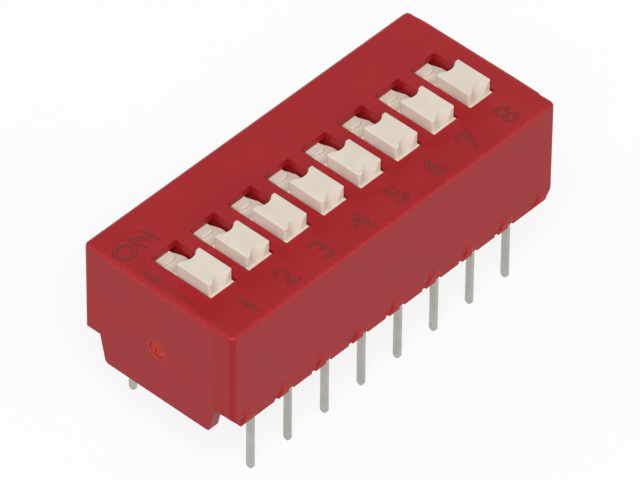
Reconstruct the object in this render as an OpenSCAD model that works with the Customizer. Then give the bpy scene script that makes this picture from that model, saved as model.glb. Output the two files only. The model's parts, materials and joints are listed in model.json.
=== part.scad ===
// Slide switch bank in a dual-in-line package, standing on the tips of its solder pins.
// X runs along the two rows of pins from switch 1, Y runs across them from OFF to ON,
// and Z is up from the pin tips. Every slider is shown at OFF. Sizes are in millimetres.

/* [Package] */
// Number of switches side by side
ways = 8; // [2:1:12]
// Spacing of the switches, and of the pins in a row
pitch = 2.54; // [2.5:0.01:2.6]
// Distance between the two rows of pins
row_spacing = 7.62; // [7.5:0.01:7.7]
// Distance from the outermost switch to the end wall's face
end_margin = 2.23; // [2.15:0.01:2.4]
// Width of the housing over its long walls
body_w = 9.55; // [9.4:0.05:9.8]
// Height of the top face above the soles of the feet
body_h = 6.76; // [6.6:0.01:6.85]
// Length of the pins below the soles of the feet
pin_drop = 3.68; // [3:0.02:4]

/* [Cover] */
// Thickness of the top wall over the sliders
top_t = 0.4; // [0.35:0.05:0.45]
// Thickness of the end walls round the base
end_t = 0.6; // [0.5:0.05:0.65]
// Thickness of the long walls beside the base
side_t = 0.62; // [0.55:0.01:0.65]
// Radius of the upright corners
corner_r = 0.3; // [0.2:0.05:0.4]
// Radius along the edges of the top face
edge_r = 0.14; // [0.06:0.02:0.2]
// Height of the long walls' lower edge above the soles
side_lift = 0.83; // [0.7:0.01:0.9]
// Height of the end walls' lower edge above the soles
end_lift = 1.54; // [1.4:0.02:1.6]
// Width of the raised panel on each end wall
panel_w = 7.34; // [7:0.02:7.5]
// How far a panel stands out from its end wall
panel_proud = 0.06; // [0.03:0.01:0.15]
// Width of a foot at its sole
foot_w = 6.68; // [6:0.02:6.8]
// Thickness of a foot
foot_t = 0.56; // [0.5:0.02:0.6]

/* [Sliders] */
// Width of a slot in the top face
slot_w = 1.72; // [1.68:0.01:1.76]
// Distance of the slots' middle from the housing's middle, towards ON
slot_y = -0.17; // [-0.2:0.01:0.1]
// Distance that a slider moves from OFF to ON
travel = 1.4; // [1.3:0.05:1.45]
// Length of a knob along its slot
knob_l = 2.1; // [2:0.05:2.2]
// Width of a knob across its slot
knob_w = 1.55; // [1.5:0.01:1.58]
// Height of a knob above the top face
knob_h = 0.65; // [0.6:0.01:0.8]
// Radius of the finger scoop in each end of a knob
scoop_r = 0.75; // [0.7:0.05:0.9]
// Depth of a finger scoop at the top of a knob
scoop_d = 0.27; // [0.18:0.01:0.3]
// Length of a slider's carriage under the cover
carriage_l = 6; // [5.9:0.05:6.1]
// Width of a slider's carriage
carriage_w = 1.62; // [1.58:0.01:1.64]
// Length of the raised shoe at each end of a carriage
shoe_l = 0.84; // [0.8:0.01:0.9]
// Width of a shoe
shoe_w = 0.9; // [0.8:0.05:1.2]
// Depth of the carriage's floor below the top face
floor_d = 0.65; // [0.6:0.01:0.75]
// Running gap round a carriage
gap = 0.05; // [0.04:0.01:0.06]

/* [Contacts] */
// Thickness of the terminals' sheet metal
strip_t = 0.2; // [0.18:0.01:0.22]
// Width of a pin
pin_w = 0.39; // [0.36:0.01:0.4]
// Height of the base's contact deck above the soles
deck_h = 3.4; // [3.3:0.05:3.45]
// Thickness of a bridge spring's sheet metal
spring_t = 0.12; // [0.1:0.01:0.14]
// Width of a bridge spring
spring_w = 0.7; // [0.6:0.02:0.76]

/* [Hidden] */
$fn = 48;

// Clearance between parts that fit together without moving
fit = 0.02;
// Overshoot of a cutting shape past the face that it opens
over = 1;

// Heights above the pin tips
z_sole = pin_drop;
z_side = z_sole + side_lift;
z_end = z_sole + end_lift;
z_deck = z_sole + deck_h;
z_top = z_sole + body_h;
z_ceiling = z_top - top_t;

// Housing
body_l = (ways - 1) * pitch + 2 * end_margin;
panel_x = body_l / 2 + panel_proud;
bay_l = body_l - 2 * end_t;
bay_w = body_w - 2 * side_t;
slot_end_gap = 0.2;
slot_l = knob_l + travel + 2 * slot_end_gap;
channel_l = carriage_l + travel + 4 * gap;
channel_w = carriage_w + 4 * gap;
sole_r = 0.25;
heel_r = 0.2;
// The long walls reach lower than the end walls, and stop short of the feet
skirt_l = body_l - 1.36;
toe_r = 0.15;
notch_w = 1.3;
notch_h = 0.12;

// Gate scar on the first end panel
gate_depth = 3.74;
gate_r = 0.5;
gate_sink = 0.06;
gate_nib_r = 0.15;

// Base, with a rim along each side of its underside
rim_in = 3.5;
rim_h = 0.25;
lug_w = 0.7;
lug_drop = 0.1;
lug_gap = 0.03;
window_l = 0.9;
window_w = 1.1;
window_y = 2.3;

// Sliders at OFF
y_off = slot_y - travel / 2;
z_slide = z_deck + gap;
z_shoe = z_ceiling - gap;
z_floor = z_top - floor_d;
z_knob = z_top + knob_h;
shoe_r = 0.1;
shoe_corner_r = 0.3;
knob_corner_r = 0.12;
knob_edge_r = 0.07;
scoop_foot_d = 0.06;
ledge_l = slot_end_gap - gap;
ledge_d = 0.1;
nose_l = 0.9;
nose_w = shoe_w + 0.1;
scoop_tilt = atan((scoop_d - scoop_foot_d) / knob_h);

// Bridge spring: a flat crown, two sloping arms and two round wipers
z_crown = z_deck + 1.4;
wiper_gap = 0.02;
crown_half = 0.25;
bend_r = 0.25;
arm_slope = 60;
tip_turn = 50;
spring_rise = z_crown - z_deck - wiper_gap - spring_t;
arm_l = (spring_rise - 2 * bend_r * (1 - cos(arm_slope))) / sin(arm_slope);
arm_y = crown_half + bend_r * sin(arm_slope);
wiper_y = arm_y + arm_l * cos(arm_slope) + bend_r * sin(arm_slope);

// Terminals: a pin, an arm under the deck and a blade whose top edge lies in the deck
arm_h = 0.5;
blade_h = 1.5;
z_arm = z_deck - blade_h;
blade_out = 2.6;
front_blade_in = 0.15;
back_blade_in = 0.95;
anchor_r = 0.22;

// ---------- helpers ----------

// Moves to the middle of switch n
module at_switch(n) {
    translate([(n - (ways + 1) / 2) * pitch, 0, 0]) children();
}

// Extrudes an outline drawn in Y and Z along X
module along_x(length) {
    rotate([90, 0, 90]) linear_extrude(length, center = true) children();
}

// Extrudes an outline drawn in X and Z along Y
module along_y(length) {
    rotate([90, 0, 0]) linear_extrude(length, center = true) children();
}

module rounded_rect(l, w, r) {
    square([l - 2 * r, w], center = true);
    square([l, w - 2 * r], center = true);
    for (x = [-1, 1], y = [-1, 1])
        translate([x * (l / 2 - r), y * (w / 2 - r)]) circle(r);
}

// A block's outline with a flat bottom and two round top corners
module rounded_top(w, h, r) {
    translate([-w / 2, 0]) square([w, h - r]);
    translate([-w / 2 + r, 0]) square([w - 2 * r, h]);
    for (x = [-1, 1])
        translate([x * (w / 2 - r), h - r]) circle(r);
}

// The lengthwise outline of the long walls' lower part and of the base, up to height z
module skirt_outline(z) {
    translate([0, z]) mirror([0, 1]) rounded_top(skirt_l, z - z_side, toe_r);
}

// Part of a strip bent to a middle radius r, from angle a to angle b
module bent_strip(r, t, a, b) {
    reach = 2 * r + t;
    intersection() {
        difference() {
            circle(r + t / 2);
            circle(r - t / 2);
        }
        polygon([
            [0, 0],
            reach * [cos(a), sin(a)],
            reach * [cos((a + b) / 2), sin((a + b) / 2)],
            reach * [cos(b), sin(b)]
        ]);
    }
}

// ---------- cover ----------

module cover_block() {
    intersection() {
        union() {
            translate([0, 0, z_end]) linear_extrude(z_top - z_end)
                rounded_rect(body_l, body_w, corner_r);
            along_y(body_w) skirt_outline(z_end + over);
        }
        along_x(body_l + over) rounded_top(body_w, z_top, edge_r);
        along_y(body_w + over) rounded_top(body_l, z_top, edge_r);
    }
}

// A panel and its foot, seen from the end: straight sides, then a taper to round corners
module panel_outline() {
    taper = atan((panel_w - foot_w) / 2 / end_lift);
    corner_y = foot_w / 2 + sole_r * tan(taper) - sole_r / cos(taper);
    side = [corner_y + sole_r * cos(taper), z_sole + sole_r * (1 - sin(taper))];
    translate([-panel_w / 2, z_end]) square([panel_w, z_top - z_end]);
    polygon([
        [panel_w / 2, z_end], side, [corner_y, z_sole],
        [-corner_y, z_sole], [-side[0], side[1]], [-panel_w / 2, z_end]
    ]);
    for (y = [-1, 1])
        translate([y * corner_y, z_sole + sole_r]) circle(sole_r);
}

// The same panel and foot in section, with a round heel and a round top edge
module panel_section() {
    inner = panel_x - foot_t;
    translate([inner, z_sole + heel_r]) square([foot_t, z_top - edge_r - z_sole - heel_r]);
    translate([inner + heel_r, z_sole]) square([foot_t - heel_r, heel_r]);
    translate([inner + heel_r, z_sole + heel_r]) circle(heel_r);
    translate([inner, z_top - edge_r]) square([foot_t - edge_r, edge_r]);
    translate([panel_x - edge_r, z_top - edge_r]) circle(edge_r);
}

module end_panel() {
    intersection() {
        along_y(panel_w + over) panel_section();
        along_x(body_l + over) panel_outline();
    }
}

module gate_scar() {
    translate([-panel_x, 0, z_top - gate_depth]) rotate([0, 90, 0])
        difference() {
            translate([0, 0, -over]) cylinder(r = gate_r, h = gate_sink + over);
            cylinder(r = gate_nib_r, h = gate_sink + over);
        }
}

module slider_channel() {
    translate([-channel_w / 2, slot_y - channel_l / 2, z_deck - over])
        cube([channel_w, channel_l, z_ceiling - z_deck + over]);
    translate([-slot_w / 2, slot_y - slot_l / 2, z_ceiling - over])
        cube([slot_w, slot_l, top_t + 2 * over]);
}

// Notches in the long walls' lower edge, half way between the switches
module lug_notches() {
    for (k = [1:ways - 1])
        translate([(k - ways / 2) * pitch - notch_w / 2, -body_w, z_side - over])
            cube([notch_w, 2 * body_w, notch_h + over]);
}

module cover() {
    color("firebrick")
    difference() {
        union() {
            cover_block();
            for (side = [0, 180])
                rotate([0, 0, side]) end_panel();
        }
        translate([-bay_l / 2, -bay_w / 2, 0]) cube([bay_l, bay_w, z_deck]);
        for (n = [1:ways])
            at_switch(n) slider_channel();
        lug_notches();
        gate_scar();
    }
}

// ---------- base ----------

// Lugs that stand in the long walls' notches
module base_lugs() {
    for (k = [1:ways - 1], side = [0, 180])
        rotate([0, 0, side])
            translate([(k - ways / 2) * pitch - lug_w / 2, rim_in, z_side - lug_drop])
                cube([lug_w, body_w / 2 - lug_gap - rim_in, lug_drop + notch_h - lug_gap]);
}

// Windows up to the terminals' arms, where the mould held them
module mould_windows() {
    for (y = [-1, 1])
        translate([-window_l / 2, y * window_y - window_w / 2, z_side])
            cube([window_l, window_w, z_arm - z_side]);
}

module base() {
    color("firebrick")
    difference() {
        union() {
            along_y(bay_w - 2 * fit) skirt_outline(z_deck);
            base_lugs();
        }
        translate([-body_l, -rim_in, z_side - over]) cube([2 * body_l, 2 * rim_in, rim_h + over]);
        for (n = [1:ways]) {
            at_switch(n) mould_windows();
            front_terminal(n);
            back_terminal(n);
        }
    }
}

// ---------- sliders ----------

// A carriage's plan, with a tapered nose at each end
module carriage_plan() {
    for (end = [0, 1])
        mirror([0, end]) polygon([
            [-carriage_w / 2, 0], [carriage_w / 2, 0],
            [carriage_w / 2, carriage_l / 2 - nose_l], [nose_w / 2, carriage_l / 2],
            [-nose_w / 2, carriage_l / 2], [-carriage_w / 2, carriage_l / 2 - nose_l]
        ]);
}

module carriage() {
    translate([0, 0, z_slide]) linear_extrude(z_floor - z_slide) carriage_plan();
    for (side = [0, 180])
        rotate([0, 0, side]) translate([0, (carriage_l - shoe_l) / 2, 0])
            intersection() {
                linear_extrude(z_shoe) rounded_rect(shoe_w, shoe_l, shoe_corner_r);
                along_x(shoe_w) translate([0, z_slide])
                    rounded_top(shoe_l, z_shoe - z_slide, shoe_r);
            }
}

// The room under a carriage for its bridge spring
module spring_pocket() {
    reach = wiper_y + bend_r + 3 * spring_t;
    shoulder = crown_half + 2 * bend_r;
    z_eave = z_slide + 2 * bend_r;
    along_x(spring_w + 4 * gap) polygon([
        [-reach, z_slide - over], [reach, z_slide - over], [reach, z_eave],
        [shoulder, z_crown], [-shoulder, z_crown], [-reach, z_eave]
    ]);
}

// A finger scoop that leans in towards the top of the knob
module knob_scoop() {
    translate([0, scoop_foot_d - knob_l / 2, z_top]) rotate([-scoop_tilt, 0, 0])
        translate([0, -scoop_r, -knob_h]) cylinder(r = scoop_r, h = 3 * knob_h, $fn = 96);
}

// The ledge round a knob's foot, which stops at the slot's ends
module knob_ledge() {
    length = knob_l + 2 * ledge_l;
    translate([-knob_w / 2, -length / 2, z_floor - gap])
        cube([knob_w, length, z_top - ledge_d - z_floor + gap]);
}

module knob() {
    difference() {
        intersection() {
            translate([0, 0, z_floor - gap]) linear_extrude(z_knob - z_floor + gap)
                rounded_rect(knob_w, knob_l, knob_corner_r);
            along_x(knob_w) rounded_top(knob_l, z_knob, knob_edge_r);
            along_y(knob_l) rounded_top(knob_w, z_knob, knob_edge_r);
        }
        knob_scoop();
        rotate([0, 0, 180]) knob_scoop();
    }
}

module actuator(n) {
    color("antiquewhite")
    at_switch(n) translate([0, y_off, 0])
        difference() {
            union() {
                carriage();
                knob_ledge();
                knob();
            }
            spring_pocket();
        }
}

// ---------- bridge springs ----------

module half_spring() {
    mid = z_crown - spring_t / 2;
    low = z_deck + wiper_gap + spring_t / 2;
    translate([0, z_crown - spring_t]) square([crown_half, spring_t]);
    translate([crown_half, mid - bend_r])
        bent_strip(bend_r, spring_t, 90, 90 - arm_slope);
    translate([arm_y, mid - bend_r * (1 - cos(arm_slope))]) rotate(-arm_slope)
        translate([0, -spring_t / 2]) square([arm_l, spring_t]);
    translate([wiper_y, low + bend_r])
        bent_strip(bend_r, spring_t, -90 - arm_slope, -90 + tip_turn);
}

module contact(n) {
    color("goldenrod")
    at_switch(n) translate([0, y_off, 0])
        along_x(spring_w) {
            half_spring();
            mirror([1, 0]) half_spring();
        }
}

// ---------- terminals ----------

// A flat stamping, drawn on the +Y side
module terminal_outline(blade_in) {
    pin_y = (row_spacing - pin_w) / 2;
    difference() {
        union() {
            translate([pin_y + pin_w / 2, pin_w / 2]) circle(pin_w / 2);
            translate([pin_y, pin_w / 2]) square([pin_w, z_arm + arm_h - pin_w / 2]);
            translate([blade_in, z_arm]) square([pin_y + pin_w - blade_in, arm_h]);
            translate([blade_in, z_arm]) square([blade_out - blade_in, blade_h]);
        }
        translate([(blade_in + blade_out) / 2, z_deck - blade_h / 2]) circle(anchor_r);
    }
}

module front_terminal(n) {
    color("silver")
    at_switch(n) along_x(strip_t) mirror([1, 0]) terminal_outline(front_blade_in);
}

module back_terminal(n) {
    color("silver")
    at_switch(n) along_x(strip_t) terminal_outline(back_blade_in);
}

// ---------- nodes ----------

cover();
base();
for (n = [1:ways]) {
    actuator(n);
    contact(n);
    front_terminal(n);
    back_terminal(n);
}
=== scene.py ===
"""Looks of a slide switch bank: red mouldings, cream sliders, tin-plated pins and printed marks."""

import json
import math

import bmesh
import bpy
from mathutils import Matrix, Quaternion, Vector

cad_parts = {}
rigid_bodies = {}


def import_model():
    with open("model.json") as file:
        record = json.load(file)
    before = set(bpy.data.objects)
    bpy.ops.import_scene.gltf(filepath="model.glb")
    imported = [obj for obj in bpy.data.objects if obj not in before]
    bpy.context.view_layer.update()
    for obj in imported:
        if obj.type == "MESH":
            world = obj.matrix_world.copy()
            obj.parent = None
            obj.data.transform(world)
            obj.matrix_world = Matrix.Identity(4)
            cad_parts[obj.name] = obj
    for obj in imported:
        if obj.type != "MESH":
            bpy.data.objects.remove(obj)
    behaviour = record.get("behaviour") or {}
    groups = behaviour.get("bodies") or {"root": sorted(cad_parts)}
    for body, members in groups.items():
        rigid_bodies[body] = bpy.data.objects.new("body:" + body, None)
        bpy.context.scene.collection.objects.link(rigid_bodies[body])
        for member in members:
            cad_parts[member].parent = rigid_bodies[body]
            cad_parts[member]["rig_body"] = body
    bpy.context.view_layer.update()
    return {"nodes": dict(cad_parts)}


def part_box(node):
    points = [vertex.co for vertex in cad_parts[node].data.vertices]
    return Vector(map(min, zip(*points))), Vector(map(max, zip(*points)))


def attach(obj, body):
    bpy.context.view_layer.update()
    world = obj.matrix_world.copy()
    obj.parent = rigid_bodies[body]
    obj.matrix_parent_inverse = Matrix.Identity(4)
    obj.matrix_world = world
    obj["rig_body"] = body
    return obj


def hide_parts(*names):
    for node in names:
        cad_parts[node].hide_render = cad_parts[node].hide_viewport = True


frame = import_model()

# ---------- sizes, in metres unless a name or comment says millimetres ----------

MM = 0.001
WAYS = range(1, 1 + sum(name.startswith("actuator_") for name in frame["nodes"]))
PITCH_MM = (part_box("actuator_2")[0].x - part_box("actuator_1")[0].x) / MM
TOP_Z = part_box("cover")[1].z
END_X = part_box("cover")[0].x

# A weld joins the frame's loose triangles, and a seam between them that turns less than this is flat
WELD = 0.0001 * MM
FLAT_SEAM = math.radians(0.5)

# An edge that turns more than this is sharp
SHARP_EDGE = math.radians(25)

# Two points closer than this are at the same place
NEAR = 0.001 * MM

# A face is level if the Z of its normal is more than this
LEVEL = 0.99

# A face wider than this is a flat one, and a narrower one is a facet of a curve
HOUSING_FACET = 0.11 * MM
SLIDER_FACET = 0.25 * MM

# Two faces that turn less than this are shaded as one curve
SMOOTH_TURN = math.radians(42)

# Radii that moulding and stamping leave on a sharp edge, and the facets in one
COVER_ROUND = 0.035 * MM
BASE_ROUND = 0.03 * MM
SLIDER_ROUND = 0.04 * MM
PIN_ROUND = 0.03 * MM
ROUND_STEPS = 2
SLIDER_ROUND_STEPS = 3

# The cover's walls, the lower edge of its ends, and the ends of its slots
WALL_X = 11.12 * MM
WALL_Y = 4.775 * MM
WALL_T = 0.62 * MM
END_Z = TOP_Z - 5.22 * MM
SLOT_FRONT_Y = -2.12 * MM
SLOT_BACK_Y = 1.78 * MM

# The end panels, which stand a little proud of the walls, and how far one side of each runs out
PANEL_X = -END_X
PANEL_Y = 3.67 * MM
PANEL_RUNOUT = 0.6 * MM

# Where the frame ends the long walls' lower part, and how far its toes move out from there
SKIRT_X = 10.44 * MM
TOE_SHIFT = 0.2 * MM

# The frame's round at the rim of the top face, then the rounds of the rim and of the upright corners
FRAME_RIM_R = 0.14 * MM
RIM_R = 0.22 * MM
RIM_STEPS = 6
CORNER_R = 0.3 * MM
CORNER_STEPS = 8

# Middle of the gate scar on the first end panel
GATE_Y = 0.0
GATE_Z = TOP_Z - 3.74 * MM

# Height of the long walls' lower edge, over which the base's lugs press
LUG_Z = TOP_Z - 5.93 * MM

# Printed marks on the top face, and the height of a capital in a font of size 1
INK_THICKNESS = 0.006 * MM
INK_SPREAD = 0.04 * MM
CAPITAL_HEIGHT = 0.73
LETTER_STEPS = 6
NUMBER_HEIGHT = 1.3 * MM
NUMBER_Y = -3.55 * MM
WORD_HEIGHT = 1.1 * MM
WORD_X = -9.65 * MM
WORD_Y = 2.95 * MM
ARROW_X = -10.6 * MM
ARROW_TAIL_Y = -1.9 * MM
ARROW_TIP_Y = 1.6 * MM
ARROW_HEAD_LENGTH = 1.15 * MM
ARROW_HEAD_WIDTH = 0.5 * MM
ARROW_LINE_WIDTH = 0.12 * MM

# Camera, the point that it looks at, and its sensor and lens in millimetres
CAMERA_AZIMUTH = math.radians(-47.442)
CAMERA_ELEVATION = math.radians(43.519)
CAMERA_ROLL = math.radians(0.56)
CAMERA_DISTANCE = 391.465 * MM
CAMERA_AIM = Vector((0.000, 0.067, 5.990)) * MM
SENSOR_WIDTH = 36.0
LENS = 467.11

# Floor, lamps and the strength of the light from all round
FLOOR_RADIUS = 3.0
FLOOR_SIDES = 96
LAMP_DISTANCE = 0.9
WORLD_LIGHT = 0.22


# ---------- materials ----------

# Colours of the red moulding, in linear light
DEEP_RED = (0.385, 0.0115, 0.0165)
CLEAR_RED = (0.415, 0.0135, 0.0185)
# A lighter red, painted on the top face's rounded rim as a highlight
RIM_HIGHLIGHT_RED = (0.46, 0.030, 0.034)
TORN_ORANGE = (0.62, 0.048, 0.018)
# An orange painted as light on the gate recess's wall, to lift its shade
LIT_LIP_ORANGE = (0.60, 0.060, 0.040)
FLECK_PINK = (0.70, 0.16, 0.12)
PIT_RED = (0.30, 0.012, 0.008)
# Stake marks over the lugs: a lighter red that also paints the bulge's highlight, and a darker red that
# also paints the dent's shade
BULGE_HIGHLIGHT_RED = (0.50, 0.018, 0.014)
DENT_SHADE_RED = (0.31, 0.004, 0.006)

# Reach of the marks on the red moulding, in millimetres: where a mark begins to fade and where it is gone
FACE_REACH = (0.2, 0.3)
SCAR_REACH = (0.34, 0.56)
PIT_REACH = (0.04, 0.15)
LIT_LIP_REACH = (0.54, 0.60)
BULGE_REACH = (0.10, 0.75)
DENT_REACH = (0.08, 0.30)

# Where the painted light on the scar's lip and the painted highlight on the rim begin and where they are
# full, in millimetres
LIT_LIP_START = (0.40, 0.46)
HIGHLIGHT_START = (-0.25, -0.13)

# Middle of a lug's bulge above the wall's lower edge, and of its dent, which is to the left, in millimetres
BULGE_UP = 0.15
DENT_UP = 0.38
DENT_LEFT = 0.30

# How far the torn noise moves the outline of each mark, in millimetres
SCAR_FRAY = 0.45
BULGE_FRAY = 0.35
DENT_FRAY = 0.15

# Colours of the sliders, pins and contacts, and of ink where it is thick and where it is rubbed thin
WARM_CREAM = (0.78, 0.70, 0.59)
PALE_CREAM = (0.82, 0.745, 0.635)
DULL_TIN = (0.43, 0.42, 0.385)
BRIGHT_TIN = (0.49, 0.48, 0.44)
DEEP_GOLD = (0.78, 0.53, 0.20)
PALE_GOLD = (0.90, 0.66, 0.28)
THICK_INK = (0.255, 0.020, 0.019)
THIN_INK = (0.37, 0.015, 0.019)

# Colours of the floor as it lights the part and as it is seen, and the share of its own light when seen
DUSTY_GREY = (0.41, 0.41, 0.41)
CLEAN_GREY = (0.45, 0.45, 0.45)
SEEN_WHITE = (0.98, 0.98, 0.98)
FLOOR_GLOW = 0.85


class Signal:
    """A shader socket that takes part in Python arithmetic."""

    def __init__(self, recipe, socket):
        self.recipe = recipe
        self.socket = socket

    def math(self, operation, *values):
        return self.recipe.node("Math", {"operation": operation}, dict(enumerate(values)))

    def __add__(self, other):
        return self.math("ADD", self, other)

    def __sub__(self, other):
        return self.math("SUBTRACT", self, other)

    def __rsub__(self, other):
        return self.math("SUBTRACT", other, self)

    def __mul__(self, other):
        return self.math("MULTIPLY", self, other)

    __radd__ = __add__
    __rmul__ = __mul__

    def squared(self):
        return self * self

    def root(self):
        return self.math("SQRT", self)

    def size(self):
        return self.math("ABSOLUTE", self)

    def larger(self, other):
        return self.math("MAXIMUM", self, other)

    def wrapped(self, reach):
        """The value, brought between -reach and reach by whole steps of twice reach."""
        return self.math("WRAP", self, reach, -reach)

    def rise(self, low, high):
        """0 below low, 1 above high and smooth between."""
        settings = {"interpolation_type": "SMOOTHSTEP"}
        return self.recipe.node("MapRange", settings, {"Value": self, "From Min": low, "From Max": high})

    def within(self, full, gone):
        """1 up to full, 0 past gone and smooth between."""
        return 1 - self.rise(full, gone)


class Recipe:
    """A node material: constants sit on the shader's own sockets, and what varies is linked."""

    def __init__(self, name, **constants):
        self.material = bpy.data.materials.new(name)
        self.material.use_nodes = True
        self.tree = self.material.node_tree
        self.shader = self.tree.nodes["Principled BSDF"]
        for socket, value in constants.items():
            self.feed(socket.replace("_", " "), value)

    def node(self, kind, settings=None, inputs=None, output=0):
        made = self.tree.nodes.new("ShaderNode" + kind)
        for name, value in (settings or {}).items():
            setattr(made, name, value)
        for name, value in (inputs or {}).items():
            self.plug(made.inputs[name], value)
        return Signal(self, made.outputs[output])

    def plug(self, socket, value):
        if isinstance(value, Signal):
            self.tree.links.new(value.socket, socket)
        else:
            socket.default_value = (*value, 1.0) if socket.type == "RGBA" and len(value) == 3 else value

    def feed(self, socket, value):
        self.plug(self.shader.inputs[socket], value)

    def place(self):
        """The place on the piece, in millimetres."""
        metres = self.node("TexCoord", output="Object")
        return self.node("VectorMath", {"operation": "SCALE"}, {0: metres, "Scale": 1 / MM})

    def apart(self, place):
        """The X, Y and Z of a place."""
        parts = self.node("SeparateXYZ", inputs={0: place})
        sockets = parts.socket.node.outputs
        return [Signal(self, sockets[axis]) for axis in "XYZ"]

    def stretched(self, place, x, y, z):
        return self.node("VectorMath", {"operation": "MULTIPLY"}, {0: place, 1: (x, y, z)})

    def noise(self, place, per_mm, detail, roughness=0.5):
        inputs = {"Vector": place, "Scale": per_mm, "Detail": detail, "Roughness": roughness}
        return self.node("TexNoise", inputs=inputs)

    def mix(self, first, second, factor):
        return self.node("Mix", {"data_type": "RGBA"}, {0: factor, 6: first, 7: second}, output=2)

    def relief(self, *layers):
        """Bumps of (height, depth in millimetres), each on top of the last."""
        normal = None
        for height, depth in layers:
            inputs = {"Height": height, "Strength": 1.0, "Distance": depth * MM}
            if normal:
                inputs["Normal"] = normal
            normal = self.node("Bump", inputs=inputs)
        self.feed("Normal", normal)


def at_face(along, face):
    """1 on the face at that coordinate, and 0 deeper in the part."""
    return along.within(*(face / MM + reach for reach in FACE_REACH))


def distance(across, up):
    return (across.squared() + up.squared()).root()


def rim_wear(x, y, z):
    """1 on the rounded rim of the cover's top face, where a highlight is painted."""
    outward = (x.size() - WALL_X / MM).larger(y.size() - WALL_Y / MM)
    return (outward + z - TOP_Z / MM).rise(*HIGHLIGHT_START)


def gate_marks(x, y, z, torn):
    """The torn skin of the gate scar, painted light on the lip round it that lifts the shade of the
    recess's wall, and the pit in its middle.
    """
    on_end = at_face(x, END_X)
    from_gate = distance(y - GATE_Y / MM, z - GATE_Z / MM)
    frayed = from_gate + SCAR_FRAY * (torn - 0.5)
    lit_lip = from_gate.rise(*LIT_LIP_START) * from_gate.within(*LIT_LIP_REACH)
    return frayed.within(*SCAR_REACH) * on_end, lit_lip * on_end, frayed.within(*PIT_REACH) * on_end


def lug_marks(x, y, z, torn):
    """The bulge over each lug and the dent at its left, on the front wall: stake marks whose colours also
    paint a highlight on the bulge and shade in the dent.
    """
    on_wall = at_face(y, -WALL_Y)
    across = x.wrapped(PITCH_MM / 2)
    up = z - LUG_Z / MM
    lit_bulge = distance(across, up - BULGE_UP) + BULGE_FRAY * (torn - 0.5)
    shaded_dent = distance(across + DENT_LEFT, up - DENT_UP) + DENT_FRAY * (torn - 0.5)
    return lit_bulge.within(*BULGE_REACH) * on_wall, shaded_dent.within(*DENT_REACH) * on_wall


def moulded_red():
    recipe = Recipe("moulded_red", IOR=1.5, Specular_IOR_Level=0.27)
    place = recipe.place()
    grain = recipe.noise(place, per_mm=14, detail=3)
    clouds = recipe.noise(place, per_mm=0.35, detail=3, roughness=0.6)
    torn = recipe.noise(place, per_mm=5, detail=3)
    x, y, z = recipe.apart(place)
    scar, lit_lip, pit = gate_marks(x, y, z, torn)
    lit_bulge, shaded_dent = lug_marks(x, y, z, torn)
    layers = [
        # Painted highlight on the rim, broken up by the torn noise
        (RIM_HIGHLIGHT_RED, 1.2 * torn * rim_wear(x, y, z)),
        (TORN_ORANGE, 0.85 * scar),
        # Painted light on the scar's lip
        (LIT_LIP_ORANGE, 0.45 * lit_lip),
        (FLECK_PINK, 0.6 * scar * torn.rise(0.55, 0.66)),
        (PIT_RED, pit),
        # Stake marks with painted highlight on the bulge and painted shade in the dent
        (BULGE_HIGHLIGHT_RED, 0.8 * lit_bulge),
        (DENT_SHADE_RED, 0.8 * shaded_dent),
    ]
    color = recipe.mix(DEEP_RED, CLEAR_RED, clouds.rise(0.35, 0.7))
    for tint, share in layers:
        color = recipe.mix(color, tint, share)
    recipe.feed("Base Color", color)
    recipe.feed("Roughness", 0.44 + 0.12 * (clouds - 0.5) + 0.06 * (grain - 0.5) + 0.15 * scar)
    recipe.relief((clouds, 0.01), (grain, 0.0015), (torn * scar, 0.03), (lit_bulge - 0.6 * shaded_dent, 0.12))
    return recipe.material


def moulded_cream():
    recipe = Recipe("moulded_cream", IOR=1.5, Specular_IOR_Level=0.35)
    place = recipe.place()
    grain = recipe.noise(place, per_mm=10, detail=3)
    clouds = recipe.noise(place, per_mm=0.8, detail=3, roughness=0.6)
    recipe.feed("Base Color", recipe.mix(WARM_CREAM, PALE_CREAM, clouds.rise(0.3, 0.7)))
    recipe.feed("Roughness", 0.42 + 0.15 * (clouds - 0.5))
    recipe.relief((clouds, 0.006), (grain, 0.0012))
    return recipe.material


def tin_plate():
    recipe = Recipe("tin_plate", Metallic=1.0)
    place = recipe.place()
    streaks = recipe.noise(recipe.stretched(place, 14, 14, 0.8), per_mm=1, detail=3, roughness=0.6)
    stains = recipe.noise(place, per_mm=1.2, detail=3, roughness=0.6)
    recipe.feed("Base Color", recipe.mix(DULL_TIN, BRIGHT_TIN, stains.rise(0.3, 0.7)))
    recipe.feed("Roughness", 0.46 + 0.25 * (streaks - 0.5))
    recipe.relief((streaks, 0.002))
    return recipe.material


def gold_plate():
    recipe = Recipe("gold_plate", Metallic=1.0)
    place = recipe.place()
    stains = recipe.noise(place, per_mm=3, detail=3, roughness=0.6)
    recipe.feed("Base Color", recipe.mix(DEEP_GOLD, PALE_GOLD, stains))
    recipe.feed("Roughness", 0.28 + 0.2 * (stains - 0.5))
    return recipe.material


def dark_ink():
    recipe = Recipe("dark_ink", IOR=1.5, Specular_IOR_Level=0.28)
    place = recipe.place()
    worn = recipe.noise(place, per_mm=6, detail=4, roughness=0.7)
    recipe.feed("Base Color", recipe.mix(THICK_INK, THIN_INK, worn.rise(0.46, 0.72)))
    recipe.feed("Roughness", 0.38 + 0.2 * worn)
    recipe.relief((worn, 0.002))
    return recipe.material


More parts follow.
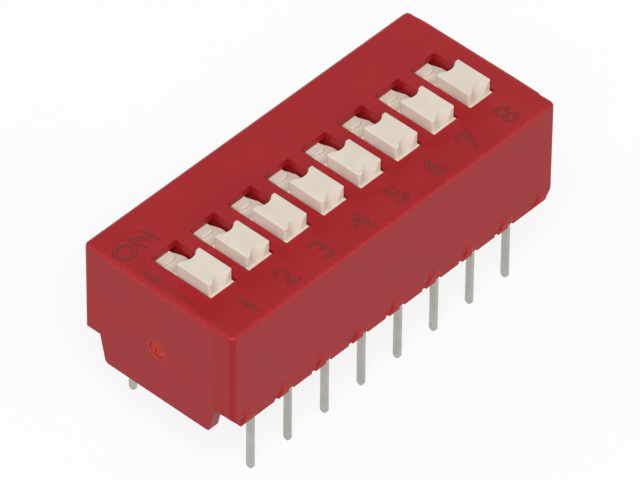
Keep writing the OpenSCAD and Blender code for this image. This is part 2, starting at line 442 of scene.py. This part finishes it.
def pale_floor():
    """A matt white floor that shows as white, with the shadow of what stands on it."""
    recipe = Recipe("pale_floor", Roughness=0.9, Specular_IOR_Level=0.1)
    place = recipe.place()
    dust = recipe.noise(place, per_mm=0.02, detail=3)
    seen = recipe.node("LightPath", output="Is Camera Ray")
    for ray in ("Is Glossy Ray", "Is Transmission Ray"):
        seen = seen.larger(recipe.node("LightPath", output=ray))
    lit = recipe.mix(DUSTY_GREY, CLEAN_GREY, dust)
    recipe.feed("Base Color", recipe.mix(lit, SEEN_WHITE, seen))
    glow = recipe.node("Emission", inputs={"Color": (1, 1, 1), "Strength": 1.0})
    shader = Signal(recipe, recipe.shader.outputs[0])
    both = recipe.node("MixShader", inputs={0: FLOOR_GLOW * seen, 1: shader, 2: glow})
    output = recipe.tree.nodes["Material Output"]
    recipe.plug(output.inputs["Surface"], both)
    return recipe.material


# ---------- shapes ----------

def piece_from(shape, name, material, body=None):
    """Makes a bmesh an object that sits at the origin, with its place in its mesh."""
    mesh = bpy.data.meshes.new(name)
    shape.to_mesh(mesh)
    shape.free()
    piece = bpy.data.objects.new(name, mesh)
    bpy.context.scene.collection.objects.link(piece)
    mesh.materials.clear()
    mesh.materials.append(material)
    if body:
        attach(piece, body)
    return piece


def flat_faces(faces, facet_width):
    """The faces that are too wide to be facets of a curve."""
    flat = set()
    for face in faces:
        width = face.calc_area() / max(WELD, *(edge.calc_length() for edge in face.edges))
        if width > facet_width:
            flat.add(face)
    return flat


def shading_normal(loop, flat):
    """Flat faces stay flat, a curve turns evenly, and a curve that meets a flat face joins it."""
    face = loop.face
    if face in flat:
        return face.normal.copy()

    def likeness(other):
        return other.face.normal.dot(face.normal)

    around = [other for other in loop.vert.link_loops if likeness(other) > math.cos(SMOOTH_TURN)]
    level = [other for other in around if other.face in flat]
    if level:
        return max(level, key=likeness).face.normal.copy()
    blend = sum((other.face.normal * other.calc_angle() for other in around), Vector())
    return blend.normalized() if blend.length else face.normal.copy()


def vert_at(shape, x, y, z):
    place = Vector((x, y, z))
    return min(shape.verts, key=lambda vert: (vert.co - place).length)


def squared(place):
    """Where a point of the cover's plainly rounded block goes if the block is sharp."""
    x, y, z = place
    far_x, far_y = abs(x), abs(y)
    rim_z = TOP_Z - FRAME_RIM_R
    on_rim = z > rim_z - NEAR
    off_panel_round = abs(math.hypot(far_x - PANEL_X + FRAME_RIM_R, z - rim_z) - FRAME_RIM_R)
    if far_x > WALL_X - CORNER_R - NEAR and far_y > WALL_Y - CORNER_R - NEAR:
        far_x, far_y = WALL_X, WALL_Y
    elif on_rim and far_y > WALL_Y - FRAME_RIM_R - NEAR:
        far_y = WALL_Y
    elif on_rim and far_y < PANEL_Y + NEAR and off_panel_round < NEAR:
        far_x = PANEL_X
    elif on_rim and far_x > WALL_X - FRAME_RIM_R - NEAR:
        far_x = WALL_X
    else:
        return place
    return math.copysign(far_x, x), math.copysign(far_y, y), TOP_Z if on_rim else z


def square_block(shape):
    for vert in shape.verts:
        if vert.co.z > END_Z - NEAR:
            vert.co = squared(vert.co)
    bmesh.ops.remove_doubles(shape, verts=shape.verts, dist=NEAR)
    bmesh.ops.dissolve_degenerate(shape, dist=NEAR, edges=shape.edges)
    bmesh.ops.dissolve_limit(
        shape, angle_limit=FLAT_SEAM, verts=shape.verts, edges=shape.edges)


def even_top(shape):
    """Parts the top face along the slots' ends, so that its rim's round has straight strips."""
    def top_faces():
        return [face for face in shape.faces if face.normal.z > LEVEL
                and abs(face.calc_center_median().z - TOP_Z) < NEAR]

    for y in (SLOT_FRONT_Y, SLOT_BACK_Y):
        top = top_faces()
        edges = {edge for face in top for edge in face.edges}
        verts = {vert for face in top for vert in face.verts}
        bmesh.ops.bisect_plane(
            shape, geom=[*top, *edges, *verts], dist=NEAR, plane_co=(0, y, 0), plane_no=(0, 1, 0))
    top = set(top_faces())
    slanting = []
    for edge in shape.edges:
        run = edge.verts[1].co - edge.verts[0].co
        if set(edge.link_faces) <= top and min(abs(run.x), abs(run.y)) > NEAR:
            slanting.append(edge)
    bmesh.ops.dissolve_edges(shape, edges=slanting, use_verts=False)


def slant_skirt(shape, x, y):
    """Runs the end of a long wall's lower part up to the block's corner."""
    corner = vert_at(shape, x * WALL_X, y * WALL_Y, END_Z)
    heel = vert_at(shape, x * WALL_X, y * PANEL_Y, END_Z)
    outer = vert_at(shape, x * SKIRT_X, y * WALL_Y, END_Z)
    inner = vert_at(shape, x * SKIRT_X, y * (WALL_Y - WALL_T), END_Z)
    end_edge = next(edge for edge in corner.link_edges if edge.other_vert(corner) is heel)
    middle = bmesh.utils.edge_split(end_edge, corner, WALL_T / (WALL_Y - PANEL_Y))[1]
    underside = next(face for face in middle.link_faces if inner in face.verts[:])
    bmesh.utils.face_split(underside, middle, inner)
    bmesh.ops.weld_verts(shape, targetmap={outer: corner, inner: middle})


def shift_toes(shape):
    for vert in shape.verts:
        x, y, z = vert.co
        if z < END_Z - NEAR and abs(y) > WALL_Y - WALL_T - NEAR:
            if SKIRT_X - TOE_SHIFT < abs(x) < SKIRT_X + NEAR:
                vert.co.x += math.copysign(TOE_SHIFT, x)


def blend_panels(shape):
    """Lets one side of each end panel run out into the wall round it."""
    for vert in shape.verts:
        x, y, z = vert.co
        on_foot_line = abs(abs(x) - WALL_X) < NEAR and abs(abs(y) - PANEL_Y) < NEAR
        if on_foot_line and x * y > 0:
            vert.co.y += math.copysign(PANEL_RUNOUT, y)


def rounded(shape, edges, radius, segments, clamped=False):
    """Rounds the edges and gives the new faces; clamped, a round stops where its face ends."""
    return bmesh.ops.bevel(
        shape, geom=edges, offset=radius, offset_type="OFFSET", segments=segments,
        profile=0.5, affect="EDGES", clamp_overlap=clamped, material=-1)["faces"]


def round_block(shape):
    """Rounds the cover's upright corners and then the rim of its top face."""
    def at_corner(vert):
        return abs(abs(vert.co.x) - WALL_X) < NEAR and abs(abs(vert.co.y) - WALL_Y) < NEAR

    def on_outline(vert):
        outside = abs(vert.co.x) > WALL_X - CORNER_R - NEAR or abs(vert.co.y) > WALL_Y - CORNER_R - NEAR
        return vert.co.z > TOP_Z - NEAR and outside

    uprights = [edge for edge in shape.edges if all(map(at_corner, edge.verts))
                and abs(edge.verts[0].co.z - edge.verts[1].co.z) > CORNER_R]
    rounded(shape, uprights, CORNER_R, CORNER_STEPS)
    rim = [edge for edge in shape.edges if all(map(on_outline, edge.verts))
           and edge.calc_face_angle(0.0) > SHARP_EDGE]
    rounded(shape, rim, RIM_R, RIM_STEPS)


def remould_cover(shape):
    square_block(shape)
    even_top(shape)
    for x in (-1, 1):
        for y in (-1, 1):
            slant_skirt(shape, x, y)
    shift_toes(shape)
    blend_panels(shape)
    round_block(shape)


def softened(node, name, radius, material,
             segments=ROUND_STEPS, facet=HOUSING_FACET, reshape=None):
    """Replaces a frame node with a copy whose sharp edges are rounded."""
    source = frame["nodes"][node]
    shape = bmesh.new()
    shape.from_mesh(source.data)
    bmesh.ops.remove_doubles(shape, verts=shape.verts, dist=WELD)
    bmesh.ops.dissolve_limit(
        shape, angle_limit=FLAT_SEAM, verts=shape.verts, edges=shape.edges)
    if reshape:
        reshape(shape)
    sharp = [edge for edge in shape.edges
             if edge.is_convex and edge.calc_face_angle(0.0) > SHARP_EDGE]
    rounds = rounded(shape, sharp, radius, segments, clamped=True)
    flat = flat_faces(set(shape.faces) - set(rounds), facet)
    normals = [shading_normal(loop, flat) for face in shape.faces for loop in face.loops]
    piece = piece_from(shape, name, material, source["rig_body"])
    piece.data.shade_smooth()
    piece.data.normals_split_custom_set(normals)
    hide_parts(node)
    return piece


def dress(node, material):
    """Gives a frame node that is shown as it is its finish."""
    mesh = frame["nodes"][node].data
    mesh.materials.clear()
    mesh.materials.append(material)


# ---------- printed marks ----------

def printed_text(text, name, height, x, y, ink):
    """A word or number as thin ink on the top face, centred on x and y."""
    curve = bpy.data.curves.new(name, "FONT")
    curve.body = text
    curve.size = height / CAPITAL_HEIGHT
    curve.align_x = "CENTER"
    curve.bevel_depth = INK_SPREAD
    curve.bevel_resolution = 0
    curve.resolution_u = LETTER_STEPS
    letter = bpy.data.objects.new(name + "_outline", curve)
    bpy.context.scene.collection.objects.link(letter)
    graph = bpy.context.evaluated_depsgraph_get()
    mesh = bpy.data.meshes.new_from_object(letter.evaluated_get(graph))
    bpy.data.objects.remove(letter)
    flattened = Matrix.Diagonal((1, 1, INK_THICKNESS / (2 * INK_SPREAD), 1))
    mesh.transform(Matrix.Translation((x, y - height / 2, TOP_Z + INK_THICKNESS / 2)) @ flattened)
    mesh.name = name
    mesh.materials.clear()
    mesh.materials.append(ink)
    piece = bpy.data.objects.new(name, mesh)
    bpy.context.scene.collection.objects.link(piece)
    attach(piece, "housing")
    return piece


def printed_arrow(ink):
    """An arrow beside the first switch that points to its ON end."""
    neck_y = ARROW_TIP_Y - ARROW_HEAD_LENGTH
    outline = [
        (ARROW_LINE_WIDTH / 2, ARROW_TAIL_Y), (ARROW_LINE_WIDTH / 2, neck_y),
        (ARROW_HEAD_WIDTH / 2, neck_y), (0, ARROW_TIP_Y), (-ARROW_HEAD_WIDTH / 2, neck_y),
        (-ARROW_LINE_WIDTH / 2, neck_y), (-ARROW_LINE_WIDTH / 2, ARROW_TAIL_Y),
    ]
    shape = bmesh.new()
    face = shape.faces.new([shape.verts.new((ARROW_X + x, y, TOP_Z)) for x, y in outline])
    top = bmesh.ops.extrude_face_region(shape, geom=[face])["geom"]
    raised = [part for part in top if isinstance(part, bmesh.types.BMVert)]
    bmesh.ops.translate(shape, verts=raised, vec=(0, 0, INK_THICKNESS))
    bmesh.ops.recalc_face_normals(shape, faces=shape.faces)
    return piece_from(shape, "on_arrow", ink, "housing")


def print_marks(ink):
    for n in WAYS:
        low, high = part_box(f"actuator_{n}")
        printed_text(str(n), f"number_{n}", NUMBER_HEIGHT, (low.x + high.x) / 2, NUMBER_Y, ink)
    printed_text("ON", "on_word", WORD_HEIGHT, WORD_X, WORD_Y, ink)
    printed_arrow(ink)


# ---------- the switch ----------

def dress_switch():
    red = moulded_red()
    cream = moulded_cream()
    tin = tin_plate()
    gold = gold_plate()
    softened("cover", "cover_moulding", COVER_ROUND, red, reshape=remould_cover)
    softened("base", "base_moulding", BASE_ROUND, red)
    for n in WAYS:
        softened(f"actuator_{n}", f"slider_moulding_{n}", SLIDER_ROUND, cream,
                 SLIDER_ROUND_STEPS, SLIDER_FACET)
        softened(f"front_terminal_{n}", f"front_pin_{n}", PIN_ROUND, tin)
        softened(f"back_terminal_{n}", f"back_pin_{n}", PIN_ROUND, tin)
        dress(f"contact_{n}", gold)
    print_marks(dark_ink())


# ---------- floor, lamps and camera ----------

def floor():
    shape = bmesh.new()
    bmesh.ops.create_circle(shape, cap_ends=True, segments=FLOOR_SIDES, radius=FLOOR_RADIUS)
    piece_from(shape, "floor", pale_floor())


def direction(azimuth, elevation):
    """The way from the part to a lamp or viewer; azimuth 0 is in front, on the -Y side."""
    flat = math.cos(elevation)
    return Vector((math.sin(azimuth) * flat, -math.cos(azimuth) * flat, math.sin(elevation)))


def soft_lamp(name, azimuth, elevation, size, share):
    """A square soft lamp; share is its part of the light that shows a colour as it is written."""
    data = bpy.data.lights.new(name, "AREA")
    data.size = size
    data.energy = share * math.pi ** 2 * LAMP_DISTANCE ** 2
    lamp = bpy.data.objects.new(name, data)
    bpy.context.scene.collection.objects.link(lamp)
    toward = direction(math.radians(azimuth), math.radians(elevation))
    lamp.location = CAMERA_AIM + toward * LAMP_DISTANCE
    lamp.rotation_mode = "QUATERNION"
    lamp.rotation_quaternion = (-toward).to_track_quat("-Z", "Y")
    lamp.visible_camera = False


def lamps():
    soft_lamp("key_lamp", azimuth=-46, elevation=50, size=0.5, share=0.83)
    soft_lamp("right_lamp", azimuth=35, elevation=16, size=0.3, share=0.14)
    soft_lamp("left_lamp", azimuth=-128, elevation=18, size=0.3, share=0.14)
    soft_lamp("back_lamp", azimuth=135, elevation=12, size=0.5, share=0.2)
    world = bpy.data.worlds.new("studio")
    bpy.context.scene.world = world
    world.use_nodes = True
    background = world.node_tree.nodes["Background"]
    background.inputs["Color"].default_value = (1.0, 1.0, 1.0, 1.0)
    background.inputs["Strength"].default_value = WORLD_LIGHT


def camera():
    data = bpy.data.cameras.new("camera")
    data.sensor_width = SENSOR_WIDTH
    data.lens = LENS
    data.clip_start = 0.01
    data.clip_end = 20
    seen_from = bpy.data.objects.new("camera", data)
    bpy.context.scene.collection.objects.link(seen_from)
    back = direction(CAMERA_AZIMUTH, CAMERA_ELEVATION)
    seen_from.location = CAMERA_AIM + back * CAMERA_DISTANCE
    seen_from.rotation_mode = "QUATERNION"
    level = (-back).to_track_quat("-Z", "Y")
    seen_from.rotation_quaternion = level @ Quaternion((0, 0, 1), CAMERA_ROLL)
    bpy.context.scene.camera = seen_from


dress_switch()
floor()
lamps()
camera()
bpy.context.scene.view_settings.view_transform = "Standard"
